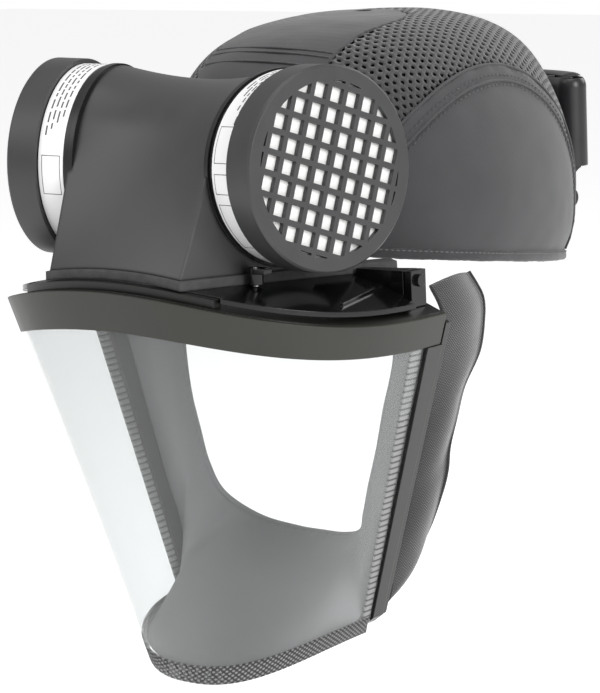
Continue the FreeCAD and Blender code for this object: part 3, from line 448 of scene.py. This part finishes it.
def stitchRow(name, path, pitch, thread, material, body):
    # short thread ends standing just proud of the cloth, one after another
    spots = evenly(path, pitch)
    points, faces = [], []
    for start, nextSpot in zip(spots, spots[1:]):
        end = start.lerp(nextSpot, 0.68)
        along = (end - start).normalized()
        side = along.cross(Vector((0.3, 0.2, 1))).normalized()
        rise = side.cross(along)
        for at, size in ((0, 0.35), (0.2, 1), (0.8, 1), (1, 0.35)):
            centre = start.lerp(end, at)
            for k in range(6):
                turn = math.pi * k / 3
                points.append(centre + (side * math.cos(turn) + rise * math.sin(turn)) * thread * size)
        base = len(points) - 24
        for ring in range(3):
            for k in range(6):
                a, b = base + ring * 6 + k, base + ring * 6 + (k + 1) % 6
                faces.append((a, b, b + 6, a + 6))
        faces.append(tuple(base + k for k in reversed(range(6))))
        faces.append(tuple(base + 18 + k for k in range(6)))
    return addMesh(name, points, faces, material, body)


def ripple(point, size, seed=0.0):
    return noise.noise(Vector(point) / size + Vector((seed, seed * 0.7, seed * 1.3)))


# the cap: its dome is worked out from the same few levels as the frame's shell

capShape = {
    "halfWidth": 98, "rearReach": 129, "frontLimit": 109, "height": 125, "centreY": -3, "rimSlope": 0.14,
    # share of the plan, share of the height, forward shift, from the rim to the crown
    "levels": [(0.95, 0.0, 0), (0.985, 0.1, 1), (1.0, 0.22, 1), (0.99, 0.4, 3), (0.93, 0.6, 4),
               (0.80, 0.8, 4), (0.62, 0.92, 3), (0.37, 0.985, 2), (0.04, 1.0, 0)],
    "rimLift": 2.5,
    "tongueHalf": 39, "tongueEnd": -30,
    "sideY": 95, "sideZ": 98, "sideCentre": -8, "sideBorder": 8,
}


def smoothAt(rows, t):
    # one smooth line through rows of numbers; t runs from 0 at the first to 1 at the last
    place = min(max(t, 0), 1) * (len(rows) - 1)
    i = min(int(place), len(rows) - 2)
    u = place - i
    before, here, there, after = (rows[min(max(i + k, 0), len(rows) - 1)] for k in (-1, 0, 1, 2))
    return [h + 0.5 * u * (n - b + u * (2 * b - 5 * h + 4 * n - a + u * (3 * (h - n) + a - b)))
            for b, h, n, a in zip(before, here, there, after)]


def capPoint(angle, t, out=0.0):
    share, level, shift = smoothAt(capShape["levels"], t)
    front = min(capShape["rearReach"] * share - shift, capShape["frontLimit"] + capShape["centreY"])
    reach = capShape["rearReach"] * share + shift if math.sin(angle) > 0 else front
    x = (capShape["halfWidth"] * share + out) * math.cos(angle)
    y = capShape["centreY"] + (reach + out) * math.sin(angle)
    z = (capShape["height"] + out) * level - capShape["rimSlope"] * (y + 8) * (1 - level)
    z += capShape["rimLift"] * (1 - min(level / 0.1, 1))
    return Vector((x, y, z))


def inSidePanel(point, grow=0.0):
    across = (point.y - capShape["sideCentre"]) / (capShape["sideY"] + grow)
    return across ** 2 + (point.z / (capShape["sideZ"] + grow)) ** 2 < 1 and not inTongue(point)


def inTongue(point):
    half, end = capShape["tongueHalf"], capShape["tongueEnd"]
    if point.y < end:
        return abs(point.x) < half
    return math.hypot(point.x, point.y - end) < half


def onDome(test, inside, outside):
    # the place between two (angle, t) pairs where a panel's edge crosses
    low, high = inside, outside
    for step in range(18):
        middle = ((low[0] + high[0]) / 2, (low[1] + high[1]) / 2)
        if test(capPoint(*middle)):
            low = middle
        else:
            high = middle
    return low


def sideSeam(grow, count=160):
    # the seam of the left side panel, from the front rim over to the back rim
    places = []
    for step in range(count + 1):
        angle = math.radians(-90 + 180 * step / count)
        inside, outside = None, None
        for k in range(61):
            if inSidePanel(capPoint(angle, k / 60), grow) and capPoint(angle, k / 60).x > 10:
                inside, outside = (angle, k / 60), (angle, (k + 1) / 60)
        if inside:
            places.append(onDome(lambda p: inSidePanel(p, grow), inside, outside))
    return places


# cloth panels of the cap

clothSetup = {
    "around": 360, "up": 110, "thick": 1.1,
    "drift": 0.55, "driftSize": 42, "crease": 0.25, "creaseSize": 14,
    "pucker": 0.35, "puckerPitch": 7, "puckerReach": 7,
}


def seamDistance(point):
    across = (point.y - capShape["sideCentre"]) / capShape["sideY"]
    ring = math.hypot(across, point.z / capShape["sideZ"])
    return abs(1 - ring) * 95


def clothOut(point, angle):
    # how far the cloth stands off the shell: slow waves, small creases and puckers at the seams
    out = clothSetup["drift"] * ripple(point, clothSetup["driftSize"], 3)
    out += clothSetup["crease"] * ripple(point, clothSetup["creaseSize"], 9)
    near = max(0, 1 - seamDistance(point) / clothSetup["puckerReach"])
    wave = math.sin(angle * 95 / clothSetup["puckerPitch"] * 2 + 2 * ripple(point, 20, 5))
    return out + clothSetup["pucker"] * near * wave


def clothPanel(name, test, material, out=0.0, replaced=()):
    around, up = clothSetup["around"], clothSetup["up"]
    grid = [[(2 * math.pi * i / around, k / up) for k in range(up + 1)] for i in range(around)]
    inside = [[test(capPoint(*place)) for place in column] for column in grid]
    index, points, faces = {}, [], []

    def corner(i, k, towards):
        i %= around
        key = (i, k)
        if key not in index:
            place = grid[i][k]
            if not inside[i][k]:
                place = nearestInside(i, k) or place
            spot = capPoint(*place)
            spot = capPoint(*place, out + clothOut(spot, place[0]))
            index[key] = len(points)
            points.append(spot)
        return index[key]

    def nearestInside(i, k):
        for di, dk in ((0, 1), (0, -1), (1, 0), (-1, 0), (1, 1), (-1, 1), (1, -1), (-1, -1)):
            j, m = (i + di) % around, k + dk
            if 0 <= m <= up and inside[j][m]:
                start = grid[j][m]
                turn = grid[i][k][0] + (2 * math.pi * round((start[0] - grid[i][k][0]) / (2 * math.pi)))
                return onDome(test, start, (turn, grid[i][k][1]))
        return None

    for i in range(around):
        for k in range(up):
            cell = [(i, k), (i + 1, k), (i + 1, k + 1), (i, k + 1)]
            if sum(inside[a % around][b] for a, b in cell) >= 2:
                faces.append([corner(a, b, None) for a, b in cell])
    piece = thicken(addMesh(name, points, faces, material, "cap"), clothSetup["thick"])
    if replaced:
        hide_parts(*replaced)
    return piece


def leftSide(point):
    return point.x > 0 and inSidePanel(point)


def rightSide(point):
    return point.x < 0 and inSidePanel(point)


def innerSide(point):
    return inSidePanel(point, -capShape["sideBorder"])


clothPanel("coverTongue", inTongue, "capTwill", 0.15, ["cover_tongue"])
clothPanel("coverSideLeft", lambda p: p.x > 0 and innerSide(p), "capTwill", 0.0, ["cover_side_left"])
clothPanel("coverSideRight", lambda p: p.x < 0 and innerSide(p), "capTwill", 0.0, ["cover_side_right"])
clothPanel("coverBorderLeft", lambda p: leftSide(p) and not innerSide(p), "capTwill", 0.35)
clothPanel("coverBorderRight", lambda p: rightSide(p) and not innerSide(p), "capTwill", 0.35)
print("cap panels made")


# air mesh: real holes in a hexagonal knit, laid out flat from the crown and wrapped on the dome

meshSetup = {"pitch": 4.7, "hole": 1.35, "thick": 0.8, "steps": 50}


def domeTables():
    tables = []
    for i in range(181):
        angle = 2 * math.pi * i / 180
        spots = [capPoint(angle, 1 - k / meshSetup["steps"]) for k in range(meshSetup["steps"] + 1)]
        lengths = [0.0]
        for a, b in zip(spots, spots[1:]):
            lengths.append(lengths[-1] + (b - a).length)
        tables.append(lengths)
    return tables


arcTables = domeTables()


def unrolled(x, y):
    # a flat place measured from the crown, to its (angle, t) on the dome
    angle = math.atan2(y / 131, x / 98) % (2 * math.pi)
    distance = math.hypot(x, y)
    lengths = arcTables[round(angle / (2 * math.pi) * 180)]
    for k in range(meshSetup["steps"]):
        if lengths[k + 1] >= distance:
            part = (distance - lengths[k]) / max(lengths[k + 1] - lengths[k], 1e-6)
            return angle, 1 - (k + part) / meshSetup["steps"]
    return None


def airMesh():
    pitch, points, faces, index = meshSetup["pitch"], [], [], {}
    cornerReach = pitch / math.sqrt(3)

    def vertex(x, y):
        key = (round(x, 2), round(y, 2))
        if key not in index:
            place = unrolled(x, y) or (math.atan2(y / 131, x / 98), 0)
            index[key] = len(points)
            points.append(capPoint(*place, -0.1 + 0.25 * ripple(capPoint(*place), 25, 2)))
        return index[key]

    rows = int(240 / (pitch * 0.866))
    for row in range(-rows, rows + 1):
        for column in range(-45, 46):
            x = (column + 0.5 * (row % 2)) * pitch
            y = row * pitch * 0.866
            place = unrolled(x, y)
            if not place:
                continue
            spot = capPoint(*place)
            if inTongue(spot) or inSidePanel(spot):
                continue
            turns = [math.radians(30 + 60 * k) for k in range(6)]
            outer = [vertex(x + cornerReach * math.cos(a), y + cornerReach * math.sin(a)) for a in turns]
            inner = [vertex(x + meshSetup["hole"] * math.cos(a), y + meshSetup["hole"] * math.sin(a)) for a in turns]
            for k in range(6):
                m = (k + 1) % 6
                faces.append((outer[k], outer[m], inner[m], inner[k]))
    piece = thicken(addMesh("airMesh", points, faces, "airMesh", "cap"), meshSetup["thick"])
    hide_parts("cover_mesh")
    return piece


airMesh()
print("air mesh knitted")


# seams and stitches

seamSetup = {"cord": 0.7, "stitchPitch": 3.4, "thread": 0.28}


def mirrorPath(path):
    return [Vector((-p.x, p.y, p.z)) for p in path]


def seamPath(test, out, flip=False):
    # the line where a panel's edge crosses the dome, followed round by angle
    path = []
    for i in range(241):
        angle = math.radians(-180 + 360 * i / 240)
        inside = [k for k in range(101) if test(capPoint(angle, k / 100))]
        if inside and inside[-1] < 100:
            place = onDome(test, (angle, inside[-1] / 100), (angle, (inside[-1] + 1) / 100))
            path.append(capPoint(*place, out))
    return path


def tongueSeam(back, out):
    # a shallow curve across the front tongue, that far back at its middle
    path = []
    for step in range(61):
        angle = math.radians(-90 + 32 * (step / 30 - 1))
        for k in range(1200):
            spot = capPoint(angle, k / 1200, out)
            if spot.y > -back + 9 * (spot.x / capShape["tongueHalf"]) ** 2:
                break
        if abs(spot.x) < capShape["tongueHalf"] - 1:
            path.append(spot)
    return path


def addSeams():
    for back, name in ((98, "seamTongueFront"), (91.5, "seamTongueMiddle"), (88, "seamTongueBack")):
        tube(name, tongueSeam(back, 0.35), seamSetup["cord"] * 0.8, "capTwill", "cap")
    for grow, out, name in ((0, 0.5, "Outer"), (-capShape["sideBorder"], 0.35, "Inner")):
        left = [capPoint(*place, out) for place in sideSeam(grow)]
        for side, path in (("Left", left), ("Right", mirrorPath(left))):
            tube("seam" + name + side, path, seamSetup["cord"], "capTwill", "cap")
    for grow, out, name in ((-capShape["sideBorder"] + 2.6, 0.75, "Border"), (-capShape["sideBorder"] - 2.2, 0.45, "Panel")):
        left = [capPoint(*place, out) for place in sideSeam(grow)]
        for side, path in (("Left", left), ("Right", mirrorPath(left))):
            row = stitchRow("stitch" + name + side, path, seamSetup["stitchPitch"], seamSetup["thread"], "rimTape", "cap")


addSeams()
print("seams sewn")


# rim: a folded felt tape with a row of pale stitches

rimSetup = {"high": 2.9, "deep": 2.4, "fuzz": 0.35, "stitchPitch": 3.0, "thread": 0.3}


def rimPoint(angle, out, lift):
    point = capPoint(angle, 0, out)
    return Vector((point.x, point.y, point.z - capShape["rimLift"] + lift))


def addRim():
    count, sides = 420, 18
    points, faces = [], []
    for i in range(count):
        angle = 2 * math.pi * i / count
        for k in range(sides):
            turn = 2 * math.pi * k / sides
            across = math.copysign(abs(math.cos(turn)) ** 0.7, math.cos(turn)) * rimSetup["deep"]
            rise = math.copysign(abs(math.sin(turn)) ** 0.7, math.sin(turn)) * rimSetup["high"]
            spot = rimPoint(angle, across - 1.4, rise)
            fuzz = rimSetup["fuzz"] * ripple(spot, 1.8, 1) + 0.3 * ripple(spot, 14, 4)
            points.append(rimPoint(angle, across * (1 + fuzz / 3) - 1.4, rise * (1 + fuzz / 3)))
    for i in range(count):
        for k in range(sides):
            j, m = (i + 1) % count, (k + 1) % sides
            faces.append((i * sides + k, i * sides + m, j * sides + m, j * sides + k))
    tape = addMesh("rimTape", points, faces, "rimTape", "cap")
    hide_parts("rim_binding")
    path = [rimPoint(2 * math.pi * i / count, 0.95, 1.5) for i in range(count)]
    row = stitchRow("rimStitches", path, rimSetup["stitchPitch"], rimSetup["thread"], "paleThread", "cap")


addRim()
print("rim bound")


# the visor's wall, worked out from the same brow and hem ovals as the frame's lens

visorShape = {
    "brow": (110, 220, 92, 2.7), "hem": (59, 168, 90, 2.3),      # half width, front, rear, squareness
    "browZ": 7, "archRadius": 288, "hemZ": 202, "hemRise": 18,
}


def ovalPoint(oval, angle, out):
    half, front, rear, power = oval
    across, ahead = math.cos(angle), math.sin(angle)
    reach = (abs(across) ** power + abs(ahead) ** power) ** (-1 / power)
    return (half + out) * across * reach, -rear - (front + out - rear) * ahead * reach


def visorPoint(angle, drop, out=0.0):
    top = ovalPoint(visorShape["brow"], angle, out)
    hem = ovalPoint(visorShape["hem"], angle, out)
    topZ = visorShape["browZ"] - top[0] ** 2 / (2 * visorShape["archRadius"])
    rise = abs(hem[0] / visorShape["hem"][0]) ** 2.5
    hemZ = -visorShape["hemZ"] + visorShape["hemRise"] * rise
    return Vector((*top, topZ)).lerp(Vector((*hem, hemZ)), drop)


def loopThrough(points, count):
    # one smooth line through the points of the wearer's left half and their mirror images
    rows = points + [(-x, y, z) for x, y, z in reversed(points[:-1])]
    return [Vector(smoothAt([tuple(row) for row in rows], i / count)) for i in range(count + 1)]


def spaced(path, count):
    # the same line with its points evenly apart
    run = sum((b - a).length for a, b in zip(path, path[1:]))
    spots = evenly(path, run / count * 0.9999)
    return spots[:count] + [path[-1]]


softSetup = {
    "around": 220, "rows": 26, "thick": 1.0,
    "liningSag": -5, "liningGather": 0.7, "gatherPitch": 6, "capeSag": 6, "capeFold": 1.3, "capeFoldSize": 38,
}
openingLoop = [(71, -79, -20), (70, -80, -45), (65, -83, -70), (60, -83, -90), (54, -83, -110),
               (47, -79, -126), (34, -66, -140), (16, -57, -146), (0, -55, -147)]
capeRear = [(88, -38, -4), (94, -35, -17), (97, -39, -29), (98.5, -46, -43), (94.5, -55, -60), (90, -57, -78),
            (86.5, -57.5, -91), (84.5, -57, -103), (80.5, -56.5, -115), (71, -54.5, -134), (62, -56, -150),
            (56, -63.5, -162), (48, -70, -172), (24, -78, -181), (0, -80, -183)]


def softPanel(name, front, rear, material, body, shape):
    # cloth between two loops; shape(t, s) gives how far it bellies out and its fine gathers
    around, rows = softSetup["around"], softSetup["rows"]
    front, rear = spaced(front, around), spaced(rear, around)
    points, faces = [], []
    for row in range(rows + 1):
        for i in range(around + 1):
            across = rear[i] - front[i]
            along = (front[min(i + 1, around)] - front[max(i - 1, 0)]).normalized()
            normal = along.cross(across).normalized()
            t = row / rows
            spot = front[i].lerp(rear[i], t)
            points.append(spot + normal * shape(t, i / around, spot))
    for row in range(rows):
        for i in range(around):
            a = row * (around + 1) + i
            faces.append((a, a + 1, a + around + 2, a + around + 1))
    return thicken(addMesh(name, points, faces, material, body), softSetup["thick"], 0)


def liningShape(t, s, spot):
    sag = softSetup["liningSag"] * math.sin(math.pi * t) ** 1.2
    gather = softSetup["liningGather"] * t ** 6 * math.sin(s * 420 / softSetup["gatherPitch"] * 2 * math.pi)
    return sag + gather * 0.6 + 0.8 * math.sin(math.pi * t) * ripple(spot, 45, 6)


def capeShape(t, s, spot):
    sag = softSetup["capeSag"] * math.sin(math.pi * min(t * 1.1, 1)) * 0.6
    fold = softSetup["capeFold"] * math.sin(math.pi * t * 0.75) * ripple(spot, softSetup["capeFoldSize"], 8)
    return sag + fold


def addLining():
    sides = [visorPoint(0, drop, -2.8) for drop in (0.1, 0.35, 0.6, 0.8)]
    under = [visorPoint(angle, 0.958, -1.9) for angle in (0.25, 0.6, 1.0, math.pi / 2)]
    front = loopThrough([tuple(p) for p in sides + under], 400)
    rear = loopThrough(openingLoop, 400)
    lining = softPanel("faceLining", front, rear, "liningCloth", "visor", liningShape)
    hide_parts("face_seal")
    edge = tube("liningElastic", [p + Vector((0, 0.3, 0)) for p in spaced(rear, 260)], 1.3, "liningCloth", "visor")


def addCape():
    hang = Vector((0, 4, -1))
    sides = [visorPoint(0, drop, -0.5) + hang for drop in (0.06, 0.35, 0.6, 0.8, 0.92)]
    under = [visorPoint(angle, 0.95, -4.5) + Vector((0, 5, -2.5)) for angle in (0.42, 0.7, 1.05, math.pi / 2)]
    front = loopThrough([(96, -84, -4)] + [tuple(p) for p in sides + under], 400)
    rear = loopThrough(capeRear, 400)
    cape = softPanel("fleeceCape", front, rear, "fleece", None, capeShape)
    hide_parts("cape")
    hem = tube("capeHem", [p + Vector((0, -0.6, 0)) for p in spaced(rear, 300)], 1.2, "fleece", None, flat=0.8)
    for piece in (cape, hem):
        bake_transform(piece)


addLining()
addCape()
print("lining and cape hung")


# tapes inside the lens: looped tape round the hem, ribbed tape up each side

tapeSetup = {
    "hem": (0.115, 0.945, 0.992), "side": (0.105, 0.17, 0.1, 0.94),      # angles from the rear edge, shares of the drop
    "in": 0.15, "thick": 1.1,
}


def wallStrip(name, start, end, low, high, out, thick, material, columns, rows):
    points, faces, places = [], [], []
    for k in range(rows + 1):
        for i in range(columns + 1):
            angle, drop = start + (end - start) * i / columns, low + (high - low) * k / rows
            spot = visorPoint(angle, drop, out)
            points.append(spot)
            places.append(((spot - visorPoint(start, drop, out)).length, (drop - low) * 209))
    for k in range(rows):
        for i in range(columns):
            a = k * (columns + 1) + i
            faces.append((a, a + 1, a + columns + 2, a + columns + 1))
    piece = addMesh(name, points, faces, material, "visor")
    layer = piece.data.uv_layers.new(name="laid flat")
    for loop in piece.data.loops:
        layer.data[loop.index].uv = places[loop.vertex_index]
    return thicken(piece, thick, 1 if out < 0 else -1)


def addTapes():
    edge, low, high = tapeSetup["hem"]
    hem = wallStrip("hemTape", edge, math.pi - edge, low, high, -tapeSetup["in"], tapeSetup["thick"],
                    "loopTape", 160, 3)
    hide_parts("hem_strip")
    first, last, top, bottom = tapeSetup["side"]
    for side, start, end in (("left", first, last), ("right", math.pi - first, math.pi - last)):
        strip = wallStrip("sideTape_" + side, start, end, top, bottom, -tapeSetup["in"], tapeSetup["thick"],
                          "ribTape", 4, 120)
        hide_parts("side_strip_" + side)


addTapes()
print("tapes laid")


# filter labels: generic printed frames and bars, no words

printSetup = {
    "centre": (89, -151, 61.5), "axis": (0.9738, -0.2248, 0.0349), "radius": 47.55, "thick": 0.05,
    "frames": [(150, 172, 19, 29.4), (178, 190, 19, 29.4), (196, 228, 19, 29.4), (-16, 8, 19, 29.4)],
    "barRows": [19.8, 22.4, 25.0, 27.6], "barFrom": 20, "barTo": 145, "line": 0.35, "seed": 5,
}


def labelPrint(side):
    sign = 1 if side == "left" else -1
    axis = Vector((sign * printSetup["axis"][0], *printSetup["axis"][1:]))
    centre = Vector((sign * printSetup["centre"][0], *printSetup["centre"][1:]))
    across = Vector((0, 0, 1)).cross(axis).normalized()
    rise = axis.cross(across)
    points, faces = [], []

    def patch(a0, a1, d0, d1):
        steps = max(1, round(abs(a1 - a0) / 3))
        for i in range(steps + 1):
            turn = math.radians(a0 + (a1 - a0) * i / steps)
            ring = (across * math.cos(turn) + rise * math.sin(turn)) * printSetup["radius"]
            points.extend([centre - axis * d0 + ring, centre - axis * d1 + ring])
        base = len(points) - 2 * (steps + 1)
        faces.extend((base + 2 * i, base + 2 * i + 1, base + 2 * i + 3, base + 2 * i + 2) for i in range(steps))

    line = printSetup["line"]
    turnLine = math.degrees(line / printSetup["radius"])
    for a0, a1, d0, d1 in printSetup["frames"]:
        patch(a0, a1, d0, d0 + line)
        patch(a0, a1, d1 - line, d1)
        patch(a0, a0 + turnLine, d0 + line, d1 - line)
        patch(a1 - turnLine, a1, d0 + line, d1 - line)
    draw = random.Random(printSetup["seed"])
    for row, depth in enumerate(printSetup["barRows"]):
        at = printSetup["barFrom"] + row * 4
        while at < printSetup["barTo"] - row * 9:
            long = draw.uniform(2.5, 8)
            patch(at, at + long, depth, depth + 0.9)
            at += long + draw.uniform(1.2, 2.4)
    ink = thicken(addMesh("labelPrint_" + side, points, faces, "labelInk", side + "_filter"), printSetup["thick"], 1)


for side in ("left", "right"):
    labelPrint(side)
print("labels printed")


# pads inside the cap

padSetup = {"bandIn": 11.2, "bandLow": 5.5, "bandHigh": 33.5, "bandThick": 1.75, "quilt": 17, "pinch": 0.8,
            "crownIn": 9.6, "crownThick": 3.6, "crownFrom": 0.69}


def addSweatband():
    count, sides = 400, 20
    middle = (padSetup["bandLow"] + padSetup["bandHigh"]) / 2
    half = (padSetup["bandHigh"] - padSetup["bandLow"]) / 2
    points, faces = [], []
    for i in range(count):
        angle = 2 * math.pi * i / count
        puff = 1 - padSetup["pinch"] * max(0, math.cos(angle * 620 / (2 * math.pi) / padSetup["quilt"] * 2 * math.pi)) ** 24
        for k in range(sides):
            turn = 2 * math.pi * k / sides
            across = math.copysign(abs(math.cos(turn)) ** 0.6, math.cos(turn)) * padSetup["bandThick"] * puff
            rise = math.copysign(abs(math.sin(turn)) ** 0.35, math.sin(turn)) * half
            points.append(rimPoint(angle, across - padSetup["bandIn"] - 0.02 * rise, middle + rise))
    for i in range(count):
        for k in range(sides):
            j, m = (i + 1) % count, (k + 1) % sides
            faces.append((i * sides + k, i * sides + m, j * sides + m, j * sides + k))
    band = addMesh("quiltedSweatband", points, faces, "sweatFoam", "cap")
    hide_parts("sweatband")


def addCrownPad():
    rings, around = 26, 120
    points, faces = [], []
    for side in (1, -1):
        for ring in range(rings + 1):
            share = ring / rings
            t = 1 - (1 - padSetup["crownFrom"]) * share
            for i in range(around):
                angle = 2 * math.pi * i / around
                spot = capPoint(angle, t)
                quilt = 1 - 0.45 * max(abs(math.cos(spot.x * math.pi / 22)), abs(math.cos(spot.y * math.pi / 22))) ** 16
                half = padSetup["crownThick"] * math.sqrt(max(0, 1 - share ** 8)) * quilt
                points.append(capPoint(angle, t, -padSetup["crownIn"] + side * half))
    layer = (rings + 1) * around
    for ring in range(rings):
        for i in range(around):
            a, b = ring * around + i, ring * around + (i + 1) % around
            faces.append((a, b, b + around, a + around))
            faces.append((layer + a, layer + a + around, layer + b + around, layer + b))
    faces.extend((tuple(reversed(range(around))), tuple(range(layer, layer + around))))
    pad = addMesh("crownCushion", points, faces, "sweatFoam", "cap")
    bm = bmesh.new()
    bm.from_mesh(pad.data)
    bmesh.ops.remove_doubles(bm, verts=bm.verts, dist=0.05 * mm)
    bmesh.ops.recalc_face_normals(bm, faces=bm.faces)
    bm.to_mesh(pad.data)
    bm.free()
    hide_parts("crown_pad")


addSweatband()
addCrownPad()
print("pads stuffed")


# studio: a pale seamless floor under a white sky

def makeStudio():
    material, tree, bsdf = newMaterial("studioPaper", "#ffffff", 0.9)
    grain = addNode(tree, "ShaderNodeTexNoise", {"Scale": 400}, {"Vector": placeOn(tree)})
    bumpFrom(tree, bsdf, grain, 0.05, 0.2 * mm)
    bsdf.inputs["Emission Color"].default_value = (1, 1, 1, 1)
    bsdf.inputs["Emission Strength"].default_value = 0.42
    mesh = bpy.data.meshes.new("floor")
    half, height = 6, cadBox[0][2] - 0.16
    mesh.from_pydata([(-half, -half, height), (half, -half, height), (half, half, height), (-half, half, height)],
                     [], [(0, 1, 2, 3)])
    floor = bpy.data.objects.new("floor", mesh)
    bpy.context.scene.collection.objects.link(floor)
    mesh.materials.append(material)
    world = bpy.data.worlds.new("studioSky")
    bpy.context.scene.world = world
    world.use_nodes = True
    sky = world.node_tree.nodes["Background"]
    sky.inputs["Color"].default_value = (1, 1, 1, 1)
    seen = addNode(world.node_tree, "ShaderNodeLightPath")
    level = addNode(world.node_tree, "ShaderNodeMapRange", {"To Min": 0.5, "To Max": 1}, {"Value": (seen, 0)})
    world.node_tree.links.new(level.outputs[0], sky.inputs["Strength"])
    bpy.context.scene.view_settings.view_transform = "Standard"


makeStudio()
